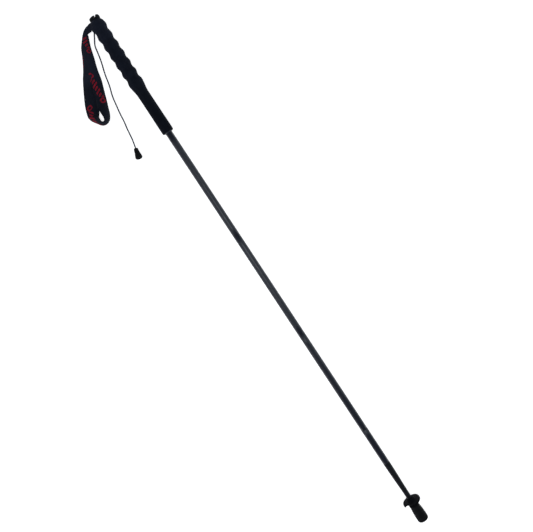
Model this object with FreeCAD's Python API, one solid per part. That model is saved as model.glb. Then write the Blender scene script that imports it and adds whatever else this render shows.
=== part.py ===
import FreeCAD, Part
import math
import os

# A sectional (tension-cord) ski-touring and trekking pole, lying on a flat surface.
# Millimetres. Origin: centre of the rubber foot's end face. +X runs up the shaft to
# the head, +Z is up and the wrist strap and the pull cord lie on the +Y side.

os.makedirs("parts", exist_ok=True)
V = FreeCAD.Vector

# ---- driving dimensions ----
LENGTH = 1200.0                       # foot face to top of the cord-lock knob
TUBE_R, TUBE_RI = 6.9, 5.8            # carbon tube outside and inside radius
SEAMS = (947.0, 711.0, 475.0, 237.0)  # where the sections pull apart
FLANGE = 0.8                          # visible metal ring of each spigot
SPIGOT_R, SPIGOT_RI = 5.75, 4.6       # spigot outside (in the upper tube) and inside
SPIGOT_UP, SPIGOT_DOWN = 34.0, 26.0   # how far it reaches up, and into its own tube
GLUE = 0.02                           # bond line
RUN = 0.06                            # radial running clearance
TIP_TOP = 150.0                       # shoulder of the plastic flex tip
CORD_R = 1.1                          # tension cord
PULL_R = 1.35                         # pull cord at the head
KNOB_R, NECK_R = 10.4, 8.0
KNOB_Y = -1.6                         # the rim sits off the neck's axis
FLANGE_X = 1193.5                      # underside of the knob's thick rim
CORD_Y = -0.2                         # the cord's bore
SLOT_LOW = (-3.4, 0.7)                # the cord slot leans: its sides at the bottom
SLOT_TOP = (-7.0, -3.6)               # and at the knob's top
FOAM_X0, FOAM_X1 = 949.5, 1193.4
STRAP_X0, STRAP_X1 = 1183.3, 1194.2   # the strap's slot in the head
PIN_Y, PIN_R = 5.2, 1.2
HINGE_Y = 17.0                        # where the strap bends at the slot's mouth
BASKET_R, BASKET_X = 19.3, 48.2
FLOOR_X, FLOOR_Z, FLOOR_K = 48.2, -19.3, 0.003625


def floor(x):
    return FLOOR_Z + FLOOR_K * (x - FLOOR_X)


def save(shape, name):
    shape = shape.removeSplitter() if shape.ShapeType != "Solid" else shape
    if not shape.isValid():
        print("INVALID", name)
    print("%-20s solids %d  volume %.1f" % (name, len(shape.Solids), shape.Volume))
    shape.exportStep("parts/%s.step" % name)
    return shape


def cyl(x0, x1, r, y=0.0, z=0.0):
    return Part.makeCylinder(r, x1 - x0, V(x0, y, z), V(1, 0, 0))


def tube(x0, x1, r, ri, y=0.0, z=0.0):
    return cyl(x0, x1, r, y, z).cut(cyl(x0 - 1, x1 + 1, ri, y, z))


def box(x0, y0, z0, x1, y1, z1):
    return Part.makeBox(x1 - x0, y1 - y0, z1 - z0, V(x0, y0, z0))


def turned(points, y=0.0, z=0.0):
    """A solid turned about the X axis from (x, r) points."""
    pts = [V(x, r, 0) for x, r in points]
    pts.append(pts[0])
    face = Part.Face(Part.makePolygon(pts))
    s = face.revolve(V(0, 0, 0), V(1, 0, 0), 360)
    s = Part.Solid(s.Shells[0]) if s.ShapeType != "Solid" else s
    if s.Volume < 0:
        s.reverse()
    s.translate(V(0, y, z))
    return s


def turned_smooth(curve_pts, x0, x1, ri):
    """Turned solid whose outside is a smooth curve, with a straight bore."""
    c = Part.BSplineCurve()
    c.interpolate([V(x, r, 0) for x, r in curve_pts])
    a, b = V(curve_pts[0][0], curve_pts[0][1], 0), V(curve_pts[-1][0], curve_pts[-1][1], 0)
    w = Part.Wire([c.toShape(),
                   Part.makeLine(b, V(x1, ri, 0)),
                   Part.makeLine(V(x1, ri, 0), V(x0, ri, 0)),
                   Part.makeLine(V(x0, ri, 0), a)])
    s = Part.Face(w).revolve(V(0, 0, 0), V(1, 0, 0), 360)
    s = Part.Solid(s.Shells[0]) if s.ShapeType != "Solid" else s
    if s.Volume < 0:
        s.reverse()
    return s


# ---- head: foam grip, tube, plug, knob, pin ----
foam_curve = [(FOAM_X0 + 1.2, 11.45), (FOAM_X0 + 4.0, 11.55), (985.0, 11.5), (1010.0, 11.4),
              (1030.0, 11.35), (1037.0, 11.5), (1043.5, 12.3), (1050.5, 13.5), (1060.2, 14.6),
              (1070.2, 12.5), (1080.2, 14.6), (1090.2, 12.5), (1100.2, 14.6), (1110.1, 12.5),
              (1120.0, 14.6), (1129.9, 12.5), (1139.8, 14.6), (1149.6, 12.5), (1159.5, 14.6),
              (1170.2, 12.8), (1179.2, 15.2), (1184.0, 14.6), (1188.2, 13.4), (1190.3, 12.1), (1191.5, 10.8), (1192.2, 9.95)]
foam = turned_smooth(foam_curve, FOAM_X0 + 1.2, 1192.2, TUBE_R + GLUE)
foam = foam.fuse(turned([(FOAM_X0, TUBE_R + GLUE), (FOAM_X0, 10.4), (FOAM_X0 + 0.35, 11.05),
                         (FOAM_X0 + 1.2, 11.45), (FOAM_X0 + 1.2, TUBE_R + GLUE)]))
foam = foam.fuse(turned([(1192.2, TUBE_R + GLUE), (1192.2, 9.95), (1192.9, 9.2), (FOAM_X1, 8.9),
                         (FOAM_X1, TUBE_R + GLUE)])).removeSplitter()
foam = foam.cut(cyl(1176.0, FOAM_X1 + 1, NECK_R + GLUE))
foam = foam.cut(box(STRAP_X0 - 0.2, 5.0, -3.0, FOAM_X1 + 1, 18.0, 3.0))
save(foam, "grip_foam")

save(tube(SEAMS[0] + 0.05, 1175.9, TUBE_R, TUBE_RI), "upper_tube")

plug = cyl(1146.0, 1180.9, TUBE_RI - GLUE).fuse(cyl(1176.0, 1180.9, NECK_R)).removeSplitter()
plug = plug.cut(cyl(1140.0, 1182.0, 1.6, CORD_Y))
plug = plug.cut(turned([(1145.9, 0), (1145.9, 3.6), (1150.0, 0)], CORD_Y))
plug = plug.cut(cyl(1179.0, 1181.5, PIN_R + GLUE, PIN_Y))
save(plug, "head_plug")

rim = turned([(FLANGE_X, 0), (FLANGE_X, 9.4), (FLANGE_X + 0.5, 10.0), (FLANGE_X + 1.4, KNOB_R), (1198.3, KNOB_R),
              (1199.3, 10.0), (1199.85, 9.2), (LENGTH, 8.1), (LENGTH, 0)], KNOB_Y)
knob = cyl(1181.0, 1196.0, NECK_R).fuse(rim).removeSplitter()
slot_pts = [(1194.0, SLOT_LOW[0]), (1194.0, SLOT_LOW[1]), (1197.4, SLOT_LOW[1]), (LENGTH, SLOT_TOP[1]),
            (1204.0, SLOT_TOP[1] - 3.0), (1204.0, SLOT_TOP[0] - 1.5), (LENGTH, SLOT_TOP[0])]
cord_slot = Part.Face(Part.makePolygon([V(x, y, -12) for x, y in slot_pts + slot_pts[:1]])).extrude(V(0, 0, 24))
knob = knob.cut(cord_slot)
knob = knob.cut(box(1193.0, SLOT_LOW[0], -12.0, 1195.0, SLOT_LOW[1], -NECK_R))   # where the cord leaves the rim
knob = knob.cut(cyl(1180.0, 1195.0, 2.32, CORD_Y)).cut(cyl(1194.0, 1197.6, 2.6, CORD_Y))
knob = knob.cut(box(STRAP_X0 - 0.2, 2.0, -3.4, STRAP_X1 + 0.2, 12.0, 3.4))
knob = knob.cut(cyl(1180.5, 1196.0, PIN_R + GLUE, PIN_Y))
save(knob, "cord_lock_knob")

guide = tube(1181.2, 1193.9, 2.3, 1.75, CORD_Y)
guide = guide.cut(turned([(1193.95, 0), (1193.95, 2.15), (1192.9, 1.75), (1192.9, 0)], CORD_Y))
save(guide, "cord_guide")

save(cyl(1179.2, 1195.8, PIN_R, PIN_Y), "strap_pin")

# ---- strap: the doubled neck in the slot, then the loop lying on the ground ----
NECK_T = 1.5
neck = cyl(STRAP_X0 + 0.1, STRAP_X1 - 0.1, PIN_R + GLUE + NECK_T, PIN_Y)
neck = neck.fuse(box(STRAP_X0 + 0.1, PIN_Y, -NECK_T, STRAP_X1 - 0.1, HINGE_Y - 1.75, NECK_T))
neck = neck.removeSplitter().cut(cyl(1180, 1197, PIN_R + GLUE, PIN_Y))
save(neck, "strap_neck")

LOOP_Z0 = -14.6
knuckle = cyl(STRAP_X0 + 0.1, STRAP_X1 - 0.1, 1.5, HINGE_Y)
drop_pts = [(HINGE_Y, 1.3), (HINGE_Y, -1.3), (24.0, -11.5), (27.0, LOOP_Z0), (34.0, LOOP_Z0),
            (33.0, LOOP_Z0 + 5.0), (28.5, -8.6), (22.5, -0.5)]
w = Part.makePolygon([V(STRAP_X0 + 0.1, y, z) for y, z in drop_pts + drop_pts[:1]])
drop = Part.Face(w).extrude(V(STRAP_X1 - STRAP_X0 - 0.2, 0, 0))
outline = [(1188.6, 32.8), (1180.6, 40.8), (1172.4, 48.6), (1162.7, 54.0), (1148.5, 62.7), (1134.1, 71.1),
           (1125.0, 77.6), (1111.1, 87.1), (1091.8, 98.4), (1077.0, 106.6), (1066.9, 111.8), (1061.3, 113.6),
           (1054.7, 113.8), (1046.7, 111.8), (1036.0, 103.6), (1031.6, 98.9), (1029.9, 93.0), (1030.9, 84.4),
           (1033.1, 79.9), (1037.7, 76.7), (1048.1, 71.9), (1058.8, 67.7), (1069.5, 63.4), (1080.4, 59.5),
           (1091.0, 55.4), (1101.9, 51.6), (1113.4, 48.9), (1130.2, 44.1), (1146.8, 39.1), (1158.0, 36.1),
           (1168.5, 32.0), (1179.3, 28.4), (1184.4, 27.1)]
hole = [(1052.1, 87.5), (1047.9, 93.2), (1042.6, 95.4), (1036.4, 96.2), (1032.7, 95.4), (1033.5, 91.2),
        (1038.5, 88.8), (1045.0, 88.2)]


def prism(pts, z0, z1):
    return Part.Face(Part.makePolygon([V(x, y, z0) for x, y in pts + pts[:1]])).extrude(V(0, 0, z1 - z0))


loop = prism(outline, LOOP_Z0, LOOP_Z0 + 4.6)
rise = prism([(1066.0, 106.0), (1056.0, 110.8), (1045.5, 107.6), (1035.2, 99.6), (1031.6, 93.4),
              (1032.4, 85.4), (1038.2, 78.8), (1048.0, 74.1), (1066.0, 67.2), (1066.0, 75.0),
              (1053.5, 85.5), (1061.0, 95.5)], LOOP_Z0 + 4.0, LOOP_Z0 + 15.0)
strap = loop.fuse(rise).cut(prism(hole, LOOP_Z0 - 2, LOOP_Z0 + 30))
strap = strap.fuse(drop).fuse(knuckle)
save(strap, "wrist_strap")

# ---- pull cord: from the knob's slot, under the head and along the ground ----
cord_pts = [(1189.0, CORD_Y, 0.0), (1196.1, -0.45, -0.5), (1195.9, -1.2, -7.2),
            (1194.4, -0.6, -12.6), (1188.2, 7.4, -13.5), (1180.6, 14.4, -13.55),
            (1171.0, 20.0, -13.6), (1160.6, 27.0, -13.65), (1146.0, 29.5, -13.7),
            (1127.6, 33.8, -13.75), (1106.5, 41.0, -13.85), (1083.6, 45.6, -13.95),
            (1066.4, 52.2, -14.0), (1045.0, 55.9, -14.1), (1028.0, 59.0, -14.15),
            (1014.0, 60.3, -14.2), (999.0, 63.5, -14.25), (983.6, 65.4, -14.1),
            (971.4, 67.5, -13.4), (959.6, 70.6, -11.9)]


def rounded_path(pts):
    P = [V(*p) for p in pts]
    edges, at = [], P[0]
    length = 0.0
    for i in range(1, len(P) - 1):
        a, b = P[i] - P[i - 1], P[i + 1] - P[i]
        turn = a.getAngle(b)
        t = 0.45 * min(a.Length, b.Length)
        r = t / math.tan(turn / 2)
        ua, ub = V(a), V(b)
        ua.normalize()
        ub.normalize()
        p0, p1 = P[i] - ua * t, P[i] + ub * t
        bis = ub - ua
        bis.normalize()
        c = P[i] + bis * (r / math.cos(turn / 2))
        mid = c - bis * r
        edges.append(Part.makeLine(at, p0))
        edges.append(Part.Arc(p0, mid, p1).toShape())
        length += (p0 - at).Length + r * turn
        print("cord point %2d turn %5.1f deg radius %7.1f run %5.1f" % (i, math.degrees(turn), r, a.Length))
        at = p1
    edges.append(Part.makeLine(at, P[-1]))
    length += (P[-1] - at).Length
    return Part.Wire(edges), length


path, cord_len = rounded_path(cord_pts)
d0 = V(*cord_pts[1]) - V(*cord_pts[0])
prof = Part.Wire(Part.makeCircle(PULL_R, V(*cord_pts[0]), d0))
cord = path.makePipeShell([prof], True, True, 1)
print("cord length %.1f, volume %.1f, expected %.1f" % (cord_len, cord.Volume, math.pi * PULL_R ** 2 * cord_len))
save(cord, "pull_cord")

# cone-shaped toggle on the cord's end, with its knot in the open end
T0, T1 = V(959.6, 70.6, -11.9), V(938.4, 75.3, -8.4)
tdir = T1 - T0
tdir.normalize()


def along(points):
    s = turned(points)
    s.Placement = FreeCAD.Placement(T0, FreeCAD.Rotation(V(1, 0, 0), tdir))
    return s


toggle = along([(0, 0), (0, 3.0), (0.5, 3.8), (1.4, 4.2), (5.0, 4.6), (9.0, 5.2), (13.0, 6.0), (16.0, 6.65),
                (17.9, 6.95), (19.3, 6.8), (20.6, 6.1), (21.5, 5.0), (21.9, 3.9), (21.9, 0)])
toggle = toggle.cut(along([(15.5, 0), (15.5, 3.2), (22.5, 3.2), (22.5, 0)]))
toggle = toggle.cut(along([(-1, 0), (-1, PULL_R + 0.1), (16.0, PULL_R + 0.1), (16.0, 0)]))
save(toggle, "cord_toggle")
knot = along([(0.02, 0), (0.02, PULL_R), (15.6, PULL_R), (15.8, 2.3), (16.7, 3.0), (18.1, 3.1), (19.5, 2.6),
              (20.3, 1.6), (20.5, 0)])
save(knot, "cord_knot")

# ---- four lower sections, each a carbon tube with a metal spigot and a nylon nose ----
ENDS = (SEAMS[1] + 0.05, SEAMS[2] + 0.05, SEAMS[3] + 0.05, TIP_TOP)
for i, (top, low) in enumerate(zip(SEAMS, ENDS)):
    n = i + 2
    save(tube(low, top - FLANGE, TUBE_R, TUBE_RI), "tube_%d" % n)
    sp = turned([(top - SPIGOT_DOWN, 0), (top - SPIGOT_DOWN, TUBE_RI - GLUE),
                 (top - FLANGE, TUBE_RI - GLUE), (top - FLANGE, TUBE_R), (top, TUBE_R),
                 (top, SPIGOT_R - 0.01), (top + SPIGOT_UP - 1.5, SPIGOT_R - 0.01),
                 (top + SPIGOT_UP, 5.0), (top + SPIGOT_UP, 0)])
    sp = sp.cut(cyl(top - SPIGOT_DOWN - 1, top + SPIGOT_UP + 1, SPIGOT_RI))
    save(sp, "spigot_%d" % n)
    x = top + SPIGOT_UP
    nose = turned([(x - 8.0, 0), (x - 8.0, SPIGOT_RI - GLUE), (x, SPIGOT_RI - GLUE), (x + 0.02, 4.9),
                   (x + 3.0, 4.7), (x + 6.0, 3.9), (x + 8.0, 2.8), (x + 8.6, 2.0), (x + 8.6, 0)])
    nose = nose.cut(cyl(x - 10, x + 10, CORD_R + 0.35))
    save(nose, "spigot_nose_%d" % n)

# ---- tip: plastic flex tip, cord anchor, carbide point, basket, rubber foot ----
flex = turned([(12.0, 0), (12.0, 3.4), (16.0, 4.5), (37.9, 4.5), (37.9, 5.0), (58.0, 5.0), (58.4, 5.3),
               (68.2, 5.45), (77.0, 5.57), (85.9, 5.7), (93.0, 5.86), (101.4, 6.12), (110.0, 6.36),
               (119.0, 6.52), (126.0, 6.65), (136.0, 6.79), (TIP_TOP - 0.8, TUBE_R), (TIP_TOP, TUBE_R),
               (TIP_TOP, TUBE_RI - GLUE), (TIP_TOP + 38.0, TUBE_RI - GLUE), (TIP_TOP + 39.5, 4.8),
               (TIP_TOP + 39.5, 0)])
flex = flex.cut(cyl(TIP_TOP - 20.0, TIP_TOP + 45.0, 2.6))
flex = flex.cut(cyl(TIP_TOP - 38.0, TIP_TOP, 1.45))
flex = flex.cut(cyl(11.0, 34.0, 1.75))
save(flex, "flex_tip")
save(turned([(TIP_TOP - 18.0, 0), (TIP_TOP - 18.0, 2.5), (TIP_TOP - 3.0, 2.5), (TIP_TOP - 1.0, 1.7),
             (TIP_TOP - 1.0, 0)]).cut(cyl(TIP_TOP - 8.0, TIP_TOP, CORD_R + 0.02, CORD_Y)), "cord_anchor")
save(cyl(TIP_TOP - 7.9, 1188.6, CORD_R, CORD_Y), "tension_cord")
carb = turned([(8.5, 0), (8.5, 1.5), (9.4, 1.9), (11.9, 1.9), (11.9, 1.72), (33.8, 1.72), (33.8, 0)])
carb = carb.cut(turned([(8.0, 0), (8.0, 1.2), (9.3, 0)]))
save(carb, "carbide_tip")

# basket: thin dished disc on a hub, with a C-shaped clip notch in its rim
hub = turned([(38.1, 0), (38.1, 10.0), (38.8, 10.5), (42.4, 10.5), (44.0, 9.7), (46.0, 9.4), (50.5, 8.9), (54.5, 7.9), (57.2, 6.6),
              (57.9, 5.8), (57.9, 0)])
disc = turned([(45.5, 8.0), (45.7, 18.3), (46.2, 19.1), (47.3, BASKET_R), (48.5, BASKET_R), (49.1, 19.0), (49.3, 18.3),
               (50.4, 8.0)])
lip = turned([(48.9, 15.6), (49.2, 16.2), (49.25, 17.4), (48.9, 18.0)])
NOTCH_A = math.radians(36.0)   # above the +Y direction, towards +Z
ny, nz = 18.6 * math.cos(NOTCH_A), 18.6 * math.sin(NOTCH_A)
basket = hub.fuse(disc).removeSplitter()
basket = basket.cut(cyl(40.0, 56.0, 7.3, ny, nz).cut(cyl(36.0, 60.0, 10.6)))
basket = basket.cut(cyl(30.0, 60.0, 5.0 + RUN))
save(basket, "basket")

foot = turned([(0, 0), (0, 10.3), (0.4, 11.05), (1.2, 11.6), (2.7, 11.87), (7.0, 11.9), (12.5, 11.75), (21.5, 11.35),
               (28.0, 10.85), (32.7, 10.3), (36.6, 9.75), (37.6, 9.3), (37.85, 8.6), (37.85, 0)])
foot = foot.cut(cyl(4.0, 40.0, 4.5 + RUN))
for k in range(3):
    foot = foot.cut(turned([(9.0 + 5.0 * k, 11.5 - 0.12 * k), (9.0 + 5.0 * k, 12.8), (10.2 + 5.0 * k, 12.8),
                            (10.2 + 5.0 * k, 11.5 - 0.12 * k)]))
save(foot, "rubber_foot")
save(cyl(4.05, 6.5, 4.5).cut(cyl(5.2, 7.0, 1.3)), "foot_washer")
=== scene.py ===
import bpy
import math
import random
import numpy as np
from mathutils import Vector, Matrix


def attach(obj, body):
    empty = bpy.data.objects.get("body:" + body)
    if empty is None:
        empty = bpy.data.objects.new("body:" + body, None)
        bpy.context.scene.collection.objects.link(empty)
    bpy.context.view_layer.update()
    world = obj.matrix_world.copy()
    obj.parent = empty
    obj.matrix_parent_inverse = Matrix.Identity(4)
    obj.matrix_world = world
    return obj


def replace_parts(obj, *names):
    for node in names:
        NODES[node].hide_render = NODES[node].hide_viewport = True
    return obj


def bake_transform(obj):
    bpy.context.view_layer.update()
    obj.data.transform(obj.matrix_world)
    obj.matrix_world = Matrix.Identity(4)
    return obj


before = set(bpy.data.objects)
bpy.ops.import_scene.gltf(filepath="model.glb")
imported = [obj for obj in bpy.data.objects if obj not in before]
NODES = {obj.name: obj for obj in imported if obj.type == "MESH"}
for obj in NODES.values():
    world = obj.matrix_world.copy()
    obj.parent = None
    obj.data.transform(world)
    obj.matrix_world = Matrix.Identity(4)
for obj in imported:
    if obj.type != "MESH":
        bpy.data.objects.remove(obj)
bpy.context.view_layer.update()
MM = 0.001


# ------------------------------------------------------------------ helpers
def new_mesh(name, verts, faces, mat=None, uvs=None, sharp=35.0):
    me = bpy.data.meshes.new(name)
    me.from_pydata([tuple(v) for v in verts], [], [tuple(f) for f in faces])
    me.validate()
    if uvs is not None:
        layer = me.uv_layers.new(name="UVMap")
        idx = np.zeros(len(me.loops), np.int32)
        me.loops.foreach_get("vertex_index", idx)
        uv = np.asarray(uvs, np.float32)
        if len(uv) == len(me.vertices):
            layer.data.foreach_set("uv", uv[idx].ravel())
        else:
            layer.data.foreach_set("uv", uv.ravel())
    for p in me.polygons:
        p.use_smooth = True
    if sharp:
        me.set_sharp_from_angle(angle=math.radians(sharp))
    me.update()
    ob = bpy.data.objects.new(name, me)
    bpy.context.collection.objects.link(ob)
    if mat is not None:
        me.materials.append(mat)
    return ob


def smooth_profile(pts, step=0.6):
    """(x, r) points in mm; a third value of 1 marks a corner that stays sharp.
    Between corners the line is a centripetal Catmull-Rom curve."""
    runs, cur = [], [pts[0][:2]]
    for p in pts[1:]:
        cur.append(p[:2])
        if len(p) > 2 and p[2]:
            runs.append(cur)
            cur = [p[:2]]
    if len(cur) > 1:
        runs.append(cur)
    out = []
    for run in runs:
        P = np.array(run, float)
        if len(P) == 2:
            seg = [P[0], P[1]]
        else:
            A = np.vstack([2 * P[0] - P[1], P, 2 * P[-1] - P[-2]])
            seg = []
            for i in range(1, len(A) - 2):
                p0, p1, p2, p3 = A[i - 1], A[i], A[i + 1], A[i + 2]
                d = np.linalg.norm(p2 - p1)
                n = max(1, int(math.ceil(d / step)))
                t01 = max(np.linalg.norm(p1 - p0), 1e-6) ** 0.5
                t12 = max(d, 1e-6) ** 0.5
                t23 = max(np.linalg.norm(p3 - p2), 1e-6) ** 0.5
                m1 = p2 - p1 + t12 * ((p1 - p0) / t01 - (p2 - p0) / (t01 + t12))
                m2 = p2 - p1 + t12 * ((p3 - p2) / t23 - (p3 - p1) / (t12 + t23))
                for k in range(n):
                    t = k / n
                    h = (2 * t**3 - 3 * t**2 + 1) * p1 + (t**3 - 2 * t**2 + t) * m1 + (-2 * t**3 + 3 * t**2) * p2 + (t**3 - t**2) * m2
                    seg.append(h)
            seg.append(P[-1])
        out += seg if not out else seg[1:]
    return np.array(out)


def lathe(name, profile, mat, segs=96, y=0.0, z=0.0, closed=True, sharp=35.0, step=0.6, wobble=None):
    """Turned body about a line parallel to X, from a closed (x, r) profile in mm."""
    P = smooth_profile(profile, step)
    if closed and np.linalg.norm(P[0] - P[-1]) < 1e-6:
        P = P[:-1]
    n = len(P)
    th = np.linspace(0, 2 * math.pi, segs, endpoint=False)
    verts, index, uvs = [], np.zeros((n, segs), int), []
    run = np.concatenate([[0], np.cumsum(np.linalg.norm(np.diff(P, axis=0), axis=1))])
    for i, (x, r) in enumerate(P):
        if r < 1e-6:
            verts.append((x * MM, y * MM, z * MM))
            index[i, :] = len(verts) - 1
        else:
            for j, a in enumerate(th):
                rr = r + (wobble(x, a, r) if wobble else 0.0)
                verts.append((x * MM, (y + rr * math.cos(a)) * MM, (z + rr * math.sin(a)) * MM))
                index[i, j] = len(verts) - 1
    faces, luv = [], []
    m = n if closed else n - 1
    for i in range(m):
        k = (i + 1) % n
        s0, s1 = run[i], (run[k] if k else run[-1] + 1)
        for j in range(segs):
            l = (j + 1) % segs
            q = [index[i, j], index[k, j], index[k, l], index[i, l]]
            c = [(th[j], s0), (th[j], s1), (th[j] + 2 * math.pi / segs, s1), (th[j] + 2 * math.pi / segs, s0)]
            f, g = [], []
            for a, b in zip(q, c):
                if a not in f:
                    f.append(a)
                    g.append((b[0] / (2 * math.pi), b[1] * MM))
            if len(f) > 2:
                faces.append(f)
                luv += g
    ob = new_mesh(name, verts, faces, mat, None, 0)
    me = ob.data
    if len(me.loops) == len(luv):
        layer = me.uv_layers.new(name="UVMap")
        layer.data.foreach_set("uv", np.array(luv, np.float32).ravel())
    fix_normals(me)
    me.set_sharp_from_angle(angle=math.radians(sharp))
    return ob


def fix_normals(me):
    import bmesh
    bm = bmesh.new()
    bm.from_mesh(me)
    bmesh.ops.recalc_face_normals(bm, faces=bm.faces)
    bm.to_mesh(me)
    bm.free()
    for p in me.polygons:
        p.use_smooth = True


def boolean(ob, cutter, op="DIFFERENCE", sharp=35.0):
    m = ob.modifiers.new("cut", "BOOLEAN")
    m.operation = op
    m.object = cutter
    m.solver = "EXACT"
    apply_mods(ob)
    bpy.data.objects.remove(cutter)
    for p in ob.data.polygons:
        p.use_smooth = True
    ob.data.set_sharp_from_angle(angle=math.radians(sharp))


def apply_mods(ob):
    dg = bpy.context.evaluated_depsgraph_get()
    dg.update()
    me = bpy.data.meshes.new_from_object(ob.evaluated_get(dg))
    ob.modifiers.clear()
    old = ob.data
    ob.data = me
    me.name = ob.name
    bpy.data.meshes.remove(old)


def bevel(ob, width, segs=3, angle=35.0):
    m = ob.modifiers.new("bevel", "BEVEL")
    m.width = width * MM
    m.segments = segs
    m.limit_method = "ANGLE"
    m.angle_limit = math.radians(angle)
    m.harden_normals = False
    apply_mods(ob)
    for p in ob.data.polygons:
        p.use_smooth = True
    ob.data.set_sharp_from_angle(angle=math.radians(60))


def rounded_box(name, lo, hi, r, segs=4):
    lo, hi = np.array(lo, float), np.array(hi, float)
    import bmesh
    bm = bmesh.new()
    bmesh.ops.create_cube(bm, size=1.0)
    for v in bm.verts:
        v.co = Vector([(lo[k] + (v.co[k] + 0.5) * (hi[k] - lo[k])) * MM for k in range(3)])
    if r > 0:
        bmesh.ops.bevel(bm, geom=list(bm.edges), offset=r * MM, segments=segs, affect="EDGES", profile=0.5)
    me = bpy.data.meshes.new(name)
    bm.to_mesh(me)
    bm.free()
    ob = bpy.data.objects.new(name, me)
    bpy.context.collection.objects.link(ob)
    return ob


# ---------------------------------------------------------------- materials
class Tree:
    def __init__(self, name):
        self.mat = bpy.data.materials.new(name)
        self.mat.use_nodes = True
        self.nt = self.mat.node_tree
        self.nt.nodes.clear()
        self.out = self.nt.nodes.new("ShaderNodeOutputMaterial")
        self.bsdf = self.nt.nodes.new("ShaderNodeBsdfPrincipled")
        self.nt.links.new(self.bsdf.outputs[0], self.out.inputs[0])
        self.n = 0

    def node(self, kind, **kw):
        nd = self.nt.nodes.new(kind)
        nd.location = (-200 - 180 * (self.n % 8), -160 * (self.n // 8))
        self.n += 1
        for k, v in kw.items():
            setattr(nd, k, v)
        return nd

    def link(self, a, b):
        self.nt.links.new(a, b)

    def put(self, sock, v):
        if hasattr(v, "is_linked") or isinstance(v, bpy.types.NodeSocket):
            self.link(v, sock)
        else:
            sock.default_value = v

    def math(self, op, a, b=0.0, c=None, clamp=False):
        nd = self.node("ShaderNodeMath", operation=op, use_clamp=clamp)
        self.put(nd.inputs[0], a)
        self.put(nd.inputs[1], b)
        if c is not None:
            self.put(nd.inputs[2], c)
        return nd.outputs[0]

    def uv(self):
        return self.node("ShaderNodeUVMap", uv_map="UVMap").outputs[0]

    def obj(self):
        return self.node("ShaderNodeTexCoord").outputs["Object"]

    def sep(self, v):
        nd = self.node("ShaderNodeSeparateXYZ")
        self.link(v, nd.inputs[0])
        return nd.outputs

    def comb(self, x, y, z=0.0):
        nd = self.node("ShaderNodeCombineXYZ")
        self.put(nd.inputs[0], x)
        self.put(nd.inputs[1], y)
        self.put(nd.inputs[2], z)
        return nd.outputs[0]

    def scale(self, v, s):
        nd = self.node("ShaderNodeVectorMath", operation="MULTIPLY")
        self.link(v, nd.inputs[0])
        nd.inputs[1].default_value = s
        return nd.outputs[0]

    def noise(self, v, scale, detail=3.0, rough=0.5, dist=0.0):
        nd = self.node("ShaderNodeTexNoise")
        self.link(v, nd.inputs["Vector"])
        nd.inputs["Scale"].default_value = scale
        nd.inputs["Detail"].default_value = detail
        nd.inputs["Roughness"].default_value = rough
        nd.inputs["Distortion"].default_value = dist
        return nd.outputs["Fac"]

    def voronoi(self, v, scale, feature="F1", rand=1.0):
        nd = self.node("ShaderNodeTexVoronoi", feature=feature)
        self.link(v, nd.inputs["Vector"])
        nd.inputs["Scale"].default_value = scale
        nd.inputs["Randomness"].default_value = rand
        return nd.outputs["Distance"]

    def ramp(self, f, stops):
        nd = self.node("ShaderNodeValToRGB")
        self.link(f, nd.inputs[0])
        el = nd.color_ramp.elements
        while len(el) > 1:
            el.remove(el[-1])
        el[0].position, el[0].color = stops[0][0], (*stops[0][1], 1)
        for p, c in stops[1:]:
            e = el.new(p)
            e.color = (*c, 1)
        return nd.outputs[0]

    def mix(self, f, a, b):
        nd = self.node("ShaderNodeMix", data_type="RGBA")
        self.put(nd.inputs[0], f)
        for s, v in ((nd.inputs[6], a), (nd.inputs[7], b)):
            if isinstance(v, (tuple, list)):
                s.default_value = (*v, 1)
            else:
                self.link(v, s)
        return nd.outputs[2]

    def map(self, f, a, b, c, d):
        nd = self.node("ShaderNodeMapRange")
        self.put(nd.inputs[0], f)
        for i, v in zip((1, 2, 3, 4), (a, b, c, d)):
            nd.inputs[i].default_value = v
        return nd.outputs[0]

    def bump(self, height, strength, distance):
        nd = self.node("ShaderNodeBump")
        nd.inputs["Strength"].default_value = strength
        nd.inputs["Distance"].default_value = distance
        self.link(height, nd.inputs["Height"])
        self.link(nd.outputs[0], self.bsdf.inputs["Normal"])
        return nd

    def set(self, **kw):
        names = {"color": "Base Color", "rough": "Roughness", "metal": "Metallic", "coat": "Coat Weight",
                 "coat_rough": "Coat Roughness", "sheen": "Sheen Weight", "sheen_rough": "Sheen Roughness",
                 "spec": "Specular IOR Level", "aniso": "Anisotropic", "ior": "IOR"}
        for k, v in kw.items():
            s = self.bsdf.inputs[names[k]]
            if isinstance(v, (tuple, list)):
                s.default_value = (*v, 1)
            else:
                self.put(s, v)
        return self.mat


def srgb(r, g, b):
    f = lambda c: (c / 255 / 12.92) if c <= 10.3 else ((c / 255 + 0.055) / 1.055) ** 2.4
    return (f(r), f(g), f(b))


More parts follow.
